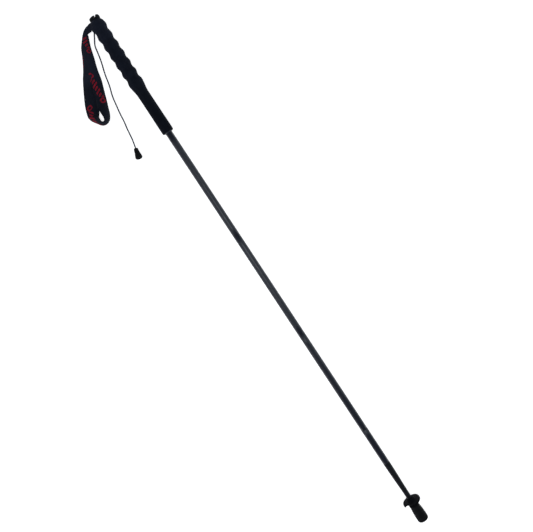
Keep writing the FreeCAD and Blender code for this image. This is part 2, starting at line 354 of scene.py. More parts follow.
def mat_foam():
    t = Tree("eva_foam")
    o = t.obj()
    cells = t.voronoi(o, 2600.0)
    big = t.noise(o, 60.0, 4, 0.6)
    fine = t.noise(o, 1800.0, 3, 0.6)
    wear = t.noise(t.scale(o, (1.0, 1.0, 1.0)), 22.0, 3, 0.55)
    c = t.ramp(big, [(0.3, srgb(18, 22, 32)), (0.7, srgb(26, 31, 43))])
    c2 = t.mix(t.map(fine, 0.35, 0.75, 0.0, 0.35), c, srgb(38, 42, 52))
    c3 = t.mix(t.map(wear, 0.52, 0.75, 0.0, 0.25), c2, srgb(44, 48, 56))
    c3 = t.mix(t.map(t.sep(o)[0], 1.030, 1.056, 0.45, 0.0), c3, srgb(10, 12, 17))
    c3 = t.mix(t.map(t.sep(o)[0], 1.11, 1.19, 0.0, 0.12), c3, srgb(62, 70, 92))
    h = t.math("ADD", t.math("MULTIPLY", cells, 0.7), t.math("MULTIPLY", fine, 0.5))
    t.bump(h, 0.35, 0.0003)
    return t.set(color=c3, rough=t.map(fine, 0.3, 0.7, 0.82, 0.97), spec=0.08)


def mat_carbon():
    """Lacquered carbon: fibres along the tube, faint marks of the wrapping tape, fine scratches."""
    t = Tree("carbon")
    o = t.obj()
    s = t.sep(o)
    ang = t.math("ARCTAN2", s[2], s[1])
    fib = t.noise(t.comb(t.math("MULTIPLY", s[0], 14.0), t.math("MULTIPLY", ang, 26.0), 0.0), 6.0, 5, 0.65)
    wrap = t.math("SINE", t.math("ADD", t.math("MULTIPLY", s[0], 2 * math.pi / 0.0026), ang))
    wrap_edge = t.math("POWER", t.math("ABSOLUTE", wrap), 0.35)
    weave_a = t.math("SINE", t.math("ADD", t.math("MULTIPLY", s[0], 2 * math.pi / 0.0034), t.math("MULTIPLY", ang, 6.0)))
    weave_b = t.math("SINE", t.math("SUBTRACT", t.math("MULTIPLY", s[0], 2 * math.pi / 0.0034), t.math("MULTIPLY", ang, 6.0)))
    weave = t.math("MULTIPLY", weave_a, weave_b)
    dust = t.noise(o, 900.0, 2, 0.5)
    scuff = t.noise(t.comb(t.math("MULTIPLY", s[0], 40.0), t.math("MULTIPLY", ang, 4.0), 3.0), 4.0, 4, 0.7)
    c = t.ramp(fib, [(0.30, srgb(14, 18, 31)), (0.55, srgb(21, 26, 43)), (0.75, srgb(31, 37, 56))])
    c = t.mix(t.map(weave, -1.0, 1.0, 0.0, 0.16), c, srgb(48, 53, 66))
    c = t.mix(t.map(scuff, 0.62, 0.80, 0.0, 0.3), c, srgb(58, 62, 72))
    h = t.math("ADD", t.math("MULTIPLY", wrap_edge, 0.25), t.math("ADD", t.math("MULTIPLY", fib, 0.4), t.math("MULTIPLY", dust, 0.15)))
    t.bump(h, 0.10, 0.0001)
    return t.set(color=c, rough=t.map(scuff, 0.3, 0.8, 0.27, 0.38), spec=0.5)


def mat_nylon(name="black_nylon", lo=(15, 18, 19), hi=(25, 28, 30), grain=2200.0, rough=(0.45, 0.62), spec=0.2):
    t = Tree(name)
    o = t.obj()
    g = t.noise(o, grain, 3, 0.6)
    cells = t.voronoi(o, grain * 0.6)
    big = t.noise(o, 120.0, 3, 0.5)
    c = t.ramp(big, [(0.3, srgb(*lo)), (0.7, srgb(*hi))])
    c = t.mix(t.map(g, 0.55, 0.8, 0.0, 0.3), c, srgb(*(min(255, v + 16) for v in hi)))
    h = t.math("ADD", t.math("MULTIPLY", cells, 0.6), t.math("MULTIPLY", g, 0.4))
    t.bump(h, 0.25, 0.00012)
    return t.set(color=c, rough=t.map(big, 0.3, 0.7, *rough), spec=spec)


def mat_rubber(name, lo, hi, scale=900.0):
    t = Tree(name)
    o = t.obj()
    a = t.noise(o, 90.0, 4, 0.6)
    dust = t.noise(o, 420.0, 5, 0.75)
    fine = t.noise(o, scale * 2.5, 2, 0.5)
    c = t.ramp(a, [(0.3, srgb(*lo)), (0.72, srgb(*hi))])
    c = t.mix(t.map(dust, 0.58, 0.8, 0.0, 0.32), c, srgb(66, 65, 63))
    t.bump(t.math("ADD", t.math("MULTIPLY", fine, 0.5), t.math("MULTIPLY", dust, 0.5)), 0.3, 0.00018)
    return t.set(color=c, rough=t.map(dust, 0.3, 0.7, 0.68, 0.88), spec=0.15)


def mat_metal(name, col, rough, brushed=True):
    t = Tree(name)
    o = t.obj()
    s = t.sep(o)
    lines = t.noise(t.comb(t.math("MULTIPLY", s[0], 5200.0), t.math("MULTIPLY", s[1], 60.0), t.math("MULTIPLY", s[2], 60.0)), 1.0, 3, 0.6)
    blot = t.noise(o, 160.0, 3, 0.6)
    c = t.mix(t.map(lines, 0.3, 0.7, 0.0, 0.5), srgb(*col), srgb(*(int(v * 0.78) for v in col)))
    c = t.mix(t.map(blot, 0.55, 0.8, 0.0, 0.3), c, srgb(*(int(v * 0.6) for v in col)))
    t.bump(lines, 0.12, 0.00005)
    return t.set(color=c, rough=t.map(blot, 0.3, 0.7, rough, rough + 0.15), metal=1.0)


def mat_cord():
    """Braided sheath: UV x runs round the cord (0..1), UV y along it in metres."""
    t = Tree("cord")
    s = t.sep(t.uv())
    k, pitch = 8.0, 0.0042
    a = t.math("ADD", t.math("MULTIPLY", s[0], k), t.math("MULTIPLY", s[1], k / pitch))
    b = t.math("SUBTRACT", t.math("MULTIPLY", s[0], k), t.math("MULTIPLY", s[1], k / pitch))
    fa = t.math("ABSOLUTE", t.math("SUBTRACT", t.math("FRACT", a), 0.5))
    fb = t.math("ABSOLUTE", t.math("SUBTRACT", t.math("FRACT", b), 0.5))
    pick = t.math("FRACT", t.math("MULTIPLY", t.math("FLOOR", t.math("ADD", a, b)), 0.5))
    h = t.math("ADD", t.math("MULTIPLY", t.math("SUBTRACT", 0.5, fa), 1.0), t.math("MULTIPLY", t.math("SUBTRACT", 0.5, fb), 1.0))
    n = t.noise(t.scale(t.uv(), (900.0, 9000.0, 1.0)), 1.0, 3, 0.6)
    soil = t.noise(t.scale(t.uv(), (2.0, 90.0, 1.0)), 1.0, 3, 0.6)
    c = t.mix(t.map(pick, 0.0, 0.5, 0.0, 1.0), srgb(100, 104, 113), srgb(82, 86, 95))
    # painted shade: the braid's colour darkens in the grooves between the strands, where the strand height h is low
    c = t.mix(t.map(h, 0.1, 0.75, 0.7, 0.0), c, srgb(46, 49, 56))
    c = t.mix(t.map(n, 0.3, 0.7, 0.0, 0.3), c, srgb(104, 108, 116))
    c = t.mix(t.map(soil, 0.5, 0.8, 0.0, 0.3), c, srgb(70, 70, 71))
    t.bump(t.math("ADD", h, t.math("MULTIPLY", n, 0.15)), 0.6, 0.00018)
    return t.set(color=c, rough=0.85, spec=0.1)


def mat_webbing(clusters, pale):
    """Woven webbing: UV x is the distance across in metres (0 in the middle), UV y the
    distance along. The printed pattern is slanted bars and lozenges in red, in groups."""
    t = Tree("webbing")
    s = t.sep(t.uv())
    across, along = s[0], s[1]
    # warp columns 0.9 mm wide, weft ribs 0.55 mm, offset every other column as in a twill
    col = t.math("MULTIPLY", across, 1 / 0.0009)
    row = t.math("MULTIPLY", along, 1 / 0.0011)
    ci = t.math("FLOOR", col)
    half = t.math("MULTIPLY", t.math("FRACT", t.math("MULTIPLY", ci, 0.5)), 1.0)
    rf = t.math("FRACT", t.math("ADD", row, half))
    cf = t.math("FRACT", col)
    hump_r = t.math("SINE", t.math("MULTIPLY", rf, math.pi))
    hump_c = t.math("SINE", t.math("MULTIPLY", cf, math.pi))
    weave = t.math("MULTIPLY", t.math("POWER", hump_r, 0.6), t.math("POWER", hump_c, 0.5))
    fuzz = t.noise(t.scale(t.uv(), (4200.0, 1300.0, 1.0)), 1.0, 3, 0.6)
    fade = t.noise(t.scale(t.uv(), (60.0, 26.0, 1.0)), 1.0, 3, 0.6)
    base = t.ramp(fade, [(0.3, srgb(20, 24, 35)), (0.7, srgb(31, 36, 50))])
    # painted shade: the webbing darkens in the gaps between the woven yarns, where the weave's humps are low
    base = t.mix(t.map(weave, 0.1, 0.9, 0.65, 0.0), base, srgb(9, 10, 14))
    base = t.mix(t.map(fuzz, 0.4, 0.8, 0.0, 0.28), base, srgb(52, 57, 72))
    # the runs near the head are a little paler
    near = t.math("MAXIMUM", t.map(along, pale[0], pale[1], 1.0, 0.0), t.map(along, pale[2], pale[3], 0.0, 1.0))
    base = t.mix(t.math("MULTIPLY", near, 0.16), base, srgb(62, 69, 90))
    # selvage: a darker edge band
    edge = t.map(t.math("ABSOLUTE", across), 0.0113, 0.0118, 0.0, 1.0)
    base = t.mix(t.math("MULTIPLY", edge, 0.35), base, srgb(12, 13, 18))
    # print
    total = None
    for start, length, half_h, pitch, lean, off, drift, rings in clusters:
        u = t.math("SUBTRACT", along, start)
        inside = t.math("MULTIPLY", t.math("GREATER_THAN", u, 0.0), t.math("LESS_THAN", u, length))
        v = t.math("SUBTRACT", t.math("SUBTRACT", across, off), t.math("MULTIPLY", u, drift))
        slant = t.math("ADD", t.math("MULTIPLY", u, 1 / pitch), t.math("MULTIPLY", v, lean / pitch))
        f = t.math("FRACT", slant)
        idx = t.math("FLOOR", slant)
        odd = t.math("FRACT", t.math("MULTIPLY", idx, 0.5))
        tall = t.math("ADD", half_h * 0.72, t.math("MULTIPLY", odd, half_h * 0.72))
        bar = t.math("MULTIPLY", t.math("LESS_THAN", t.math("ABSOLUTE", t.math("SUBTRACT", f, 0.5)), 0.28),
                     t.math("LESS_THAN", t.math("ABSOLUTE", v), tall))
        # a lozenge at the head or at the end of the group, or at both
        g = t.math("MULTIPLY", bar, inside)
        for at_end in ([], [1], [0, 1])[rings]:
            du = t.math("SUBTRACT", u, (length - half_h * 1.1) if at_end else half_h * 1.1)
            dv = t.math("SUBTRACT", v, t.math("MULTIPLY", du, -0.35))
            rr = t.math("POWER", t.math("ADD", t.math("POWER", t.math("ABSOLUTE", du), 1.4), t.math("POWER", t.math("ABSOLUTE", dv), 1.4)), 1 / 1.4)
            ring = t.math("MULTIPLY", t.math("LESS_THAN", rr, half_h * 1.12), t.math("GREATER_THAN", rr, half_h * 0.55))
            away = t.math("GREATER_THAN", t.math("ABSOLUTE", du), half_h * 1.25)
            g = t.math("MAXIMUM", t.math("MULTIPLY", g, away), ring)
        total = g if total is None else t.math("MAXIMUM", total, g)
    ink_wear = t.map(t.noise(t.scale(t.uv(), (1400.0, 900.0, 1.0)), 1.0, 3, 0.7), 0.34, 0.44, 0.25, 1.0)
    ink = t.math("MULTIPLY", total, ink_wear)
    blot = t.noise(t.scale(t.uv(), (260.0, 160.0, 1.0)), 1.0, 3, 0.6)
    red = t.mix(t.map(blot, 0.35, 0.7, 0.0, 1.0), srgb(182, 34, 54), srgb(140, 26, 46))
    # painted shade on the print: the red darkens in the gaps between the yarns, where the weave's humps are low
    red = t.mix(t.map(weave, 0.0, 0.8, 0.6, 0.0), red, srgb(88, 17, 30))
    col_out = t.mix(t.math("MULTIPLY", ink, 0.95), base, red)
    h = t.math("ADD", t.math("MULTIPLY", weave, 0.8), t.math("MULTIPLY", fuzz, 0.25))
    h = t.math("ADD", h, t.math("MULTIPLY", ink, 0.15))
    t.bump(h, 0.5, 0.00022)
    return t.set(color=col_out, rough=0.88, spec=0.12)


M_FOAM = mat_foam()
M_CARBON = mat_carbon()
M_NYLON = mat_nylon()
M_KNOB = mat_nylon("knob_nylon", (10, 16, 21), (17, 24, 30), 1800.0, (0.5, 0.64), spec=0.12)
M_BASKET = mat_nylon("basket_plastic", (9, 10, 14), (15, 16, 21), 1500.0, (0.66, 0.8), spec=0.06)
M_FLEX = mat_nylon("flex_nylon", (20, 22, 27), (31, 33, 40), 2000.0, (0.38, 0.52))
M_FOOT = mat_rubber("foot_rubber", (14, 15, 18), (24, 25, 29))
M_TOGGLE = mat_rubber("toggle_rubber", (15, 16, 19), (23, 25, 28), 1500.0)
M_ALU = mat_metal("anodised", (150, 153, 158), 0.28)
M_RING = mat_metal("ring", (52, 56, 64), 0.42)
M_STEEL = mat_metal("steel", (190, 190, 192), 0.25)
M_CARBIDE = mat_metal("carbide", (120, 120, 122), 0.4)
M_CORD = mat_cord()


# ------------------------------------------------------------- surroundings
def ground(x):
    """Height of the ground in mm: it touches the basket's rim and the grip's first ridge."""
    return -19.3 + 0.003625 * (x - 48.2)


def make_floor():
    c = 600.0
    vs = [((c + sx * 4000) * MM, sy * 4.0, (ground(c + sx * 4000) - 0.03) * MM) for sx, sy in ((-1, -1), (1, -1), (1, 1), (-1, 1))]
    t = Tree("floor")
    n = t.noise(t.obj(), 3.0, 2, 0.5)
    t.set(color=t.mix(n, (0.93, 0.93, 0.93), (0.95, 0.95, 0.95)), rough=0.9, spec=0.1)
    t.bsdf.inputs["Emission Color"].default_value = (1, 1, 1, 1)
    t.bsdf.inputs["Emission Strength"].default_value = FLOOR_GLOW
    ob = new_mesh("floor", vs, [(0, 1, 2, 3)], t.mat, None, 0)


FLOOR_GLOW = 0.80


def make_camera():
    focal, tilt, roll = 600.6, math.radians(6.5288), math.radians(33.307)
    v = Vector((-math.sin(tilt), 0, -math.cos(tilt)))
    d = Vector((-math.cos(tilt), 0, math.sin(tilt)))
    r = Vector((0, -1, 0))
    right = math.sin(roll) * d + math.cos(roll) * r
    down = math.cos(roll) * d - math.sin(roll) * r
    cam = bpy.data.cameras.new("camera")
    cam.sensor_width = 36.0
    cam.lens = focal / 533.0 * 36.0
    cam.clip_start = 0.01
    cam.clip_end = 50
    ob = bpy.data.objects.new("camera", cam)
    bpy.context.collection.objects.link(ob)
    m = Matrix((right, -down, -v)).transposed().to_4x4()
    m.translation = Vector((0.76423, -0.01625, 1.18236))
    ob.matrix_world = m
    bpy.context.scene.camera = ob


def area(name, loc, aim, size, power, size_y=None):
    l = bpy.data.lights.new(name, "AREA")
    l.energy = power
    l.shape = "RECTANGLE"
    l.size = size
    l.size_y = size_y or size
    ob = bpy.data.objects.new(name, l)
    bpy.context.collection.objects.link(ob)
    ob.location = loc
    ob.rotation_euler = (Vector(aim) - Vector(loc)).to_track_quat("-Z", "Y").to_euler()
    return ob


def make_lights():
    w = bpy.data.worlds.new("world")
    bpy.context.scene.world = w
    w.use_nodes = True
    bg = w.node_tree.nodes["Background"]
    bg.inputs[0].default_value = (1, 1, 1, 1)
    bg.inputs[1].default_value = 0.12
    bpy.context.scene.view_settings.view_transform = "Standard"
    bpy.context.scene.view_settings.look = "None"
    top = area("top", (0.60, 0.10, 2.1), (0.70, 0.0, 0.0), 0.34, 10.0, 0.7)
    side_a = area("side_a", (0.5, 2.2, 1.4), (0.6, 0.0, 0.0), 2.2, 12.0, 1.2)
    side_b = area("side_b", (0.5, -2.2, 1.4), (0.6, 0.0, 0.0), 2.2, 12.0, 1.2)
    for l in (top, side_a, side_b):
        l.data.color = (0.88, 0.94, 1.0)


# --------------------------------------------------------------------- head
def make_grip():
    prof = [(949.5, 6.92, 1), (949.5, 10.3, 1), (949.7, 10.9), (950.6, 11.4), (953.5, 11.56), (985, 11.5), (1010, 11.4),
            (1030, 11.35), (1037, 11.5), (1043.5, 12.3), (1050.5, 13.5), (1060.2, 14.6), (1070.2, 12.5),
            (1080.2, 14.6), (1090.2, 12.5), (1100.2, 14.6), (1110.1, 12.5), (1120.0, 14.6), (1129.9, 12.5),
            (1139.8, 14.6), (1149.6, 12.5), (1159.5, 14.6), (1170.2, 12.8), (1179.2, 15.2), (1184, 14.6),
            (1188.2, 13.4), (1190.3, 12.1), (1191.5, 10.8), (1192.3, 9.8), (1192.9, 9.2), (1193.4, 8.9, 1), (1193.4, 8.02, 1), (1176.0, 8.02, 1),
            (1176.0, 6.92, 1), (949.5, 6.92, 1)]

    def wob(x, a, r):
        if r < 9:
            return 0.0
        return 0.035 * math.sin(x * 0.31 + 2.0 * math.sin(a)) * math.cos(2 * a + x * 0.07) + 0.02 * math.sin(5 * a + x * 0.9)

    ob = lathe("grip_foam_sleeve", prof, M_FOAM, segs=112, step=0.9, wobble=wob, sharp=50)
    boolean(ob, rounded_box("slot_cut", (1183.0, 5.0, -3.1), (1197.0, 20.0, 3.1), 1.0), sharp=40)
    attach(ob, "handle")
    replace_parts(ob, "grip_foam")
    return ob


def make_knob():
    prof = [(1193.5, 0, 1), (1193.5, 9.3, 1), (1193.6, 9.8), (1194.1, 10.2), (1195.0, 10.38), (1196.6, 10.4), (1198.2, 10.38),
            (1199.1, 10.15), (1199.7, 9.6), (1199.95, 8.8), (1200.0, 7.4), (1200.0, 0, 1)]
    ob = lathe("cord_lock_cap", prof, M_KNOB, segs=128, step=0.35, y=-1.6, sharp=50)
    boolean(ob, lathe("kneck", [(1181.0, 0, 1), (1181.0, 8.0, 1), (1196.0, 8.0, 1), (1196.0, 0, 1)], None, segs=112), "UNION")
    slot = [(1194.5, -3.4), (1194.1, -3.1), (1194.0, -2.5), (1194.0, -0.1), (1194.2, 0.5), (1194.6, 0.7), (1196.8, 0.65),
            (1197.6, 0.2), (1198.5, -1.2), (1200.0, -3.6), (1204.0, -6.6), (1204.0, -8.5), (1200.0, -7.0), (1197.6, -5.4)]
    n = len(slot)
    vs = [(x * MM, y * MM, z * MM) for z in (-14.0, 14.0) for x, y in slot]
    fs = [tuple(range(n)), tuple(reversed(range(n, 2 * n)))] + [(k, k + n, (k + 1) % n + n, (k + 1) % n) for k in range(n)]
    cut = new_mesh("kcut1", vs, fs, None, None, 0)
    fix_normals(cut.data)
    boolean(ob, cut)
    boolean(ob, rounded_box("kcut5", (1192.9, -3.35, -13), (1195.2, 0.65, -8.02), 0.5, 3))
    bore = lathe("kcut2", [(1178, 0, 1), (1178, 2.32, 1), (1194.2, 2.32, 1), (1194.2, 2.6, 1), (1197.6, 2.6, 1), (1197.6, 0, 1)], None, segs=40, y=-0.2)
    boolean(ob, bore)
    boolean(ob, rounded_box("kcut3", (1183.1, 2.0, -3.4), (1194.4, 12.0, 3.4), 0.5, 3))
    pin = lathe("kcut4", [(1178, 0, 1), (1178, 1.22, 1), (1196, 1.22, 1), (1196, 0, 1)], None, segs=32, y=5.2)
    boolean(ob, pin)
    bevel(ob, 0.28, 3, 40)
    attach(ob, "handle")
    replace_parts(ob, "cord_lock_knob")
    return ob


# -------------------------------------------------------------------- shaft
SEAMS = (947.0, 711.0, 475.0, 237.0)


def make_tubes():
    rows = [("upper", SEAMS[0] + 0.05, 1175.9, "handle", "upper_tube")]
    lows = (SEAMS[1] + 0.05, SEAMS[2] + 0.05, SEAMS[3] + 0.05, 150.0)
    bodies = ("section_2", "section_3", "section_4", "tip_section")
    for i, (top, low, b) in enumerate(zip(SEAMS, lows, bodies)):
        rows.append(("section_%d" % (i + 2), low, top - 0.8, b, "tube_%d" % (i + 2)))
    for name, x0, x1, body, node in rows:
        e = 0.12
        mid = [(x0 + e + (x1 - x0 - 2 * e) * k / 6.0, 6.9) for k in range(7)]
        prof = [(x0, 5.8, 1), (x0, 6.9 - e, 1)] + [(mid[0][0], 6.9, 1)] + mid[1:-1] + [(mid[-1][0], 6.9, 1)] + [(x1, 6.9 - e, 1), (x1, 5.8, 1), (x0, 5.8, 1)]
        ob = lathe("tube_" + name, prof, M_CARBON, segs=96, step=20.0, sharp=50)
        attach(ob, body)
        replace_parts(ob, node)


def make_flex():
    prof = [(12.0, 1.75, 1), (12.0, 3.3, 1), (12.4, 3.6), (16.0, 4.5, 1), (37.9, 4.5, 1), (37.9, 5.0, 1), (58.0, 5.0, 1),
            (58.4, 5.3), (62.0, 5.37), (68.2, 5.45), (77.0, 5.57), (85.9, 5.7), (93.0, 5.86), (101.4, 6.12),
            (110.0, 6.36), (119.0, 6.52), (126.0, 6.65), (136.0, 6.79), (149.0, 6.9), (149.8, 6.8, 1), (150.0, 6.5, 1), (150.0, 5.78, 1),
            (188.0, 5.78, 1), (189.5, 4.8, 1), (189.5, 2.6, 1), (130.0, 2.6, 1), (130.0, 1.6, 1), (112.0, 1.45, 1), (112.0, 0, 1), (34.0, 0, 1), (34.0, 1.75, 1), (12.0, 1.75, 1)]
    ob = lathe("flex_tip_body", prof, M_FLEX, segs=96, step=1.5, sharp=40)
    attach(ob, "tip_section")
    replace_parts(ob, "flex_tip")


def make_basket():
    prof = [(38.1, 5.06, 1), (38.1, 9.9, 1), (38.3, 10.3), (38.9, 10.5), (42.0, 10.5), (42.9, 10.3), (44.0, 9.7), (45.2, 9.5), (45.7, 9.9, 1), (45.9, 14.0),
            (45.95, 17.0, 1), (45.6, 17.3), (45.65, 18.5), (46.3, 19.15), (47.3, 19.3), (48.5, 19.3), (49.2, 19.1), (49.6, 18.5), (49.5, 17.4), (49.15, 17.1, 1), (49.6, 13.0),
            (50.2, 9.6, 1), (50.9, 9.05), (52.5, 8.75), (54.5, 8.1), (56.6, 7.1), (57.6, 6.2), (57.9, 5.6, 1), (57.9, 5.06, 1), (38.1, 5.06, 1)]
    ob = lathe("snow_basket", prof, M_BASKET, segs=160, step=0.5, sharp=40)
    a = math.radians(36.0)
    ny, nz = 18.6 * math.cos(a), 18.6 * math.sin(a)
    cut = lathe("bcut", [(41.0, 0, 1), (41.0, 7.3, 1), (55.0, 7.3, 1), (55.0, 0, 1)], None, segs=72, y=ny, z=nz)
    boolean(ob, cut)
    bevel(ob, 0.3, 3, 45)
    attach(ob, "basket")
    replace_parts(ob, "basket")


def make_foot():
    prof = [(0.0, 0, 1), (0.0, 10.1, 1), (0.1, 10.6), (0.45, 11.15), (1.2, 11.62), (2.7, 11.87), (7.0, 11.9), (8.8, 11.86), (9.1, 11.57), (9.5, 11.47), (9.9, 11.57), (10.2, 11.82),
            (13.8, 11.7), (14.1, 11.43), (14.5, 11.33), (14.9, 11.42), (15.2, 11.65), (18.8, 11.5), (19.1, 11.22), (19.5, 11.12), (19.9, 11.19), (20.2, 11.42),
            (28.0, 10.85), (32.7, 10.3), (36.4, 9.78), (37.3, 9.5), (37.75, 8.9), (37.85, 8.2, 1), (37.85, 4.56, 1), (4.0, 4.56, 1), (4.0, 0, 1)]
    ob = lathe("walking_foot", prof, M_FOOT, segs=128, step=0.4, sharp=45)
    for k in range(3):
        c = rounded_box("fcut", (-2.0, -14.0, -0.8), (1.1, 14.0, 0.8), 0.3, 2)
        c.data.transform(Matrix.Rotation(math.radians(60 * k + 15), 4, "X"))
        boolean(ob, c)
    bevel(ob, 0.22, 2, 50)
    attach(ob, "foot")
    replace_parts(ob, "rubber_foot")


# --------------------------------------------------------------------- cord
CORD = [(1189.0, -0.2, 0.0), (1196.1, -0.45, -0.5), (1195.9, -1.2, -7.2),
        (1194.4, -0.6, -12.6), (1188.2, 7.4, -13.5), (1180.6, 14.4, -13.55),
        (1171.0, 20.0, -13.6), (1160.6, 27.0, -13.65), (1146.0, 29.5, -13.7),
        (1127.6, 33.8, -13.75), (1106.5, 41.0, -13.85), (1083.6, 45.6, -13.95),
        (1066.4, 52.2, -14.0), (1045.0, 55.9, -14.1), (1028.0, 59.0, -14.15),
        (1014.0, 60.3, -14.2), (999.0, 63.5, -14.25), (983.6, 65.4, -14.1),
        (971.4, 67.5, -13.4), (959.6, 70.6, -11.9)]


def spline_line(points, name):
    cu = bpy.data.curves.new(name, "CURVE")
    cu.dimensions = "3D"
    sp = cu.splines.new("NURBS")
    sp.points.add(len(points) - 1)
    for q, p in zip(sp.points, points):
        q.co = (p[0] * MM, p[1] * MM, p[2] * MM, 1)
    sp.order_u = 3
    sp.use_endpoint_u = True
    sp.resolution_u = 12
    ob = bpy.data.objects.new(name, cu)
    bpy.context.collection.objects.link(ob)
    me = bpy.data.meshes.new_from_object(ob)
    line = np.array([v.co for v in me.vertices], float)
    bpy.data.meshes.remove(me)
    bpy.data.objects.remove(ob)
    bpy.data.curves.remove(cu)
    return line


def resample(line, step):
    run = np.concatenate([[0], np.cumsum(np.linalg.norm(np.diff(line, axis=0), axis=1))])
    n = max(2, int(math.ceil(run[-1] / step)) + 1)
    at = np.linspace(0, run[-1], n)
    return np.stack([np.interp(at, run, line[:, k]) for k in range(3)], 1), at


def frames(P):
    T = np.gradient(P, axis=0)
    T /= np.linalg.norm(T, axis=1)[:, None]
    n = np.cross(T[0], (0, 0, 1.0))
    if np.linalg.norm(n) < 0.1:
        n = np.cross(T[0], (0, 1.0, 0))
    n /= np.linalg.norm(n)
    N = [n]
    for i in range(1, len(P)):
        n = N[-1] - T[i] * np.dot(N[-1], T[i])
        n /= np.linalg.norm(n)
        N.append(n)
    N = np.array(N)
    return T, N, np.cross(T, N)


def tube_mesh(name, P, at, radius, mat, segs=28, relief=0.0, carriers=8, pitch=0.0042, cap=True):
    """A round cord along P, with the braid's strands raised on its surface."""
    T, N, B = frames(P)
    verts, faces, luv = [], [], []
    th = np.linspace(0, 2 * math.pi, segs, endpoint=False)
    for i in range(len(P)):
        a = th / (2 * math.pi) * carriers + at[i] * carriers / pitch
        b = th / (2 * math.pi) * carriers - at[i] * carriers / pitch
        h = (0.5 - np.abs(a - np.floor(a) - 0.5)) * (0.5 - np.abs(b - np.floor(b) - 0.5)) * 4
        r = radius - relief + relief * np.sqrt(np.clip(h, 0, 1))
        ring = P[i] + np.outer(r * np.cos(th), N[i]) + np.outer(r * np.sin(th), B[i])
        verts += [tuple(v) for v in ring]
    for i in range(len(P) - 1):
        for j in range(segs):
            l = (j + 1) % segs
            faces.append((i * segs + j, i * segs + l, (i + 1) * segs + l, (i + 1) * segs + j))
            luv += [(j / segs, at[i]), ((j + 1) / segs, at[i]), ((j + 1) / segs, at[i + 1]), (j / segs, at[i + 1])]
    if cap:
        faces.append(tuple(range(segs)))
        luv += [(0.5, at[0])] * segs
        faces.append(tuple(reversed([(len(P) - 1) * segs + j for j in range(segs)])))
        luv += [(0.5, at[-1])] * segs
    ob = new_mesh(name, verts, faces, mat, None, 0)
    if len(ob.data.loops) == len(luv):
        layer = ob.data.uv_layers.new(name="UVMap")
        layer.data.foreach_set("uv", np.array(luv, np.float32).ravel())
    fix_normals(ob.data)
    return ob


T0, T1 = Vector((959.6, 70.6, -11.9)), Vector((938.4, 75.3, -8.4))


def make_cord():
    line = spline_line(CORD, "cord_route")
    P, at = resample(line, 0.00022)
    cord = tube_mesh("pull_cord_braid", P, at, 0.00145, M_CORD, segs=24, relief=0.00015)
    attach(cord, "handle")
    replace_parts(cord, "pull_cord")
    # toggle: a rubber cone, narrow at the cord
    turn = (T1 - T0).normalized().to_track_quat("X", "Z").to_matrix().to_4x4()
    place = Matrix.Translation(T0 * MM) @ turn
    prof = [(0.0, 1.46, 1), (0.0, 3.0, 1), (0.2, 3.45), (0.7, 3.9), (1.5, 4.22), (5.0, 4.6), (9.0, 5.2), (13.0, 6.0), (16.0, 6.65),
            (17.6, 6.92), (18.6, 6.92), (19.6, 6.65), (20.6, 6.05), (21.4, 5.1), (21.85, 4.1, 1), (21.7, 3.4, 1), (21.3, 3.2, 1), (15.5, 3.2, 1), (15.5, 1.46, 1), (0.0, 1.46, 1)]
    tog = lathe("toggle_cone", prof, M_TOGGLE, segs=80, step=0.4, sharp=50)
    tog.data.transform(place)
    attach(tog, "handle")
    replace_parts(tog, "cord_toggle")
    # the knot inside: a stub of cord, then a tight overhand knot
    pts = []
    for k in range(161):
        a = 2 * math.pi * k / 160
        pts.append((17.8 + 0.95 * math.sin(3 * a), 0.58 * (math.sin(a) + 2 * math.sin(2 * a)), 0.58 * (math.cos(a) - 2 * math.cos(2 * a))))
    KP = np.array(pts) * MM
    kat = np.concatenate([[0], np.cumsum(np.linalg.norm(np.diff(KP, axis=0), axis=1))])
    knot = tube_mesh("toggle_knot", KP[:-1], kat[:-1], 0.00095, M_CORD, segs=18, relief=0.00012)
    knot.data.transform(place)
    SP = np.array([(0.02 + 15.4 * k / 60, 0, 0) for k in range(61)]) * MM
    stub = tube_mesh("toggle_cord_stub", SP, SP[:, 0] + 0.26, 0.00136, M_CORD, segs=20, relief=0.00012)
    stub.data.transform(place)
    for o in (knot, stub):
        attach(o, "handle")
        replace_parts(o, "cord_knot")


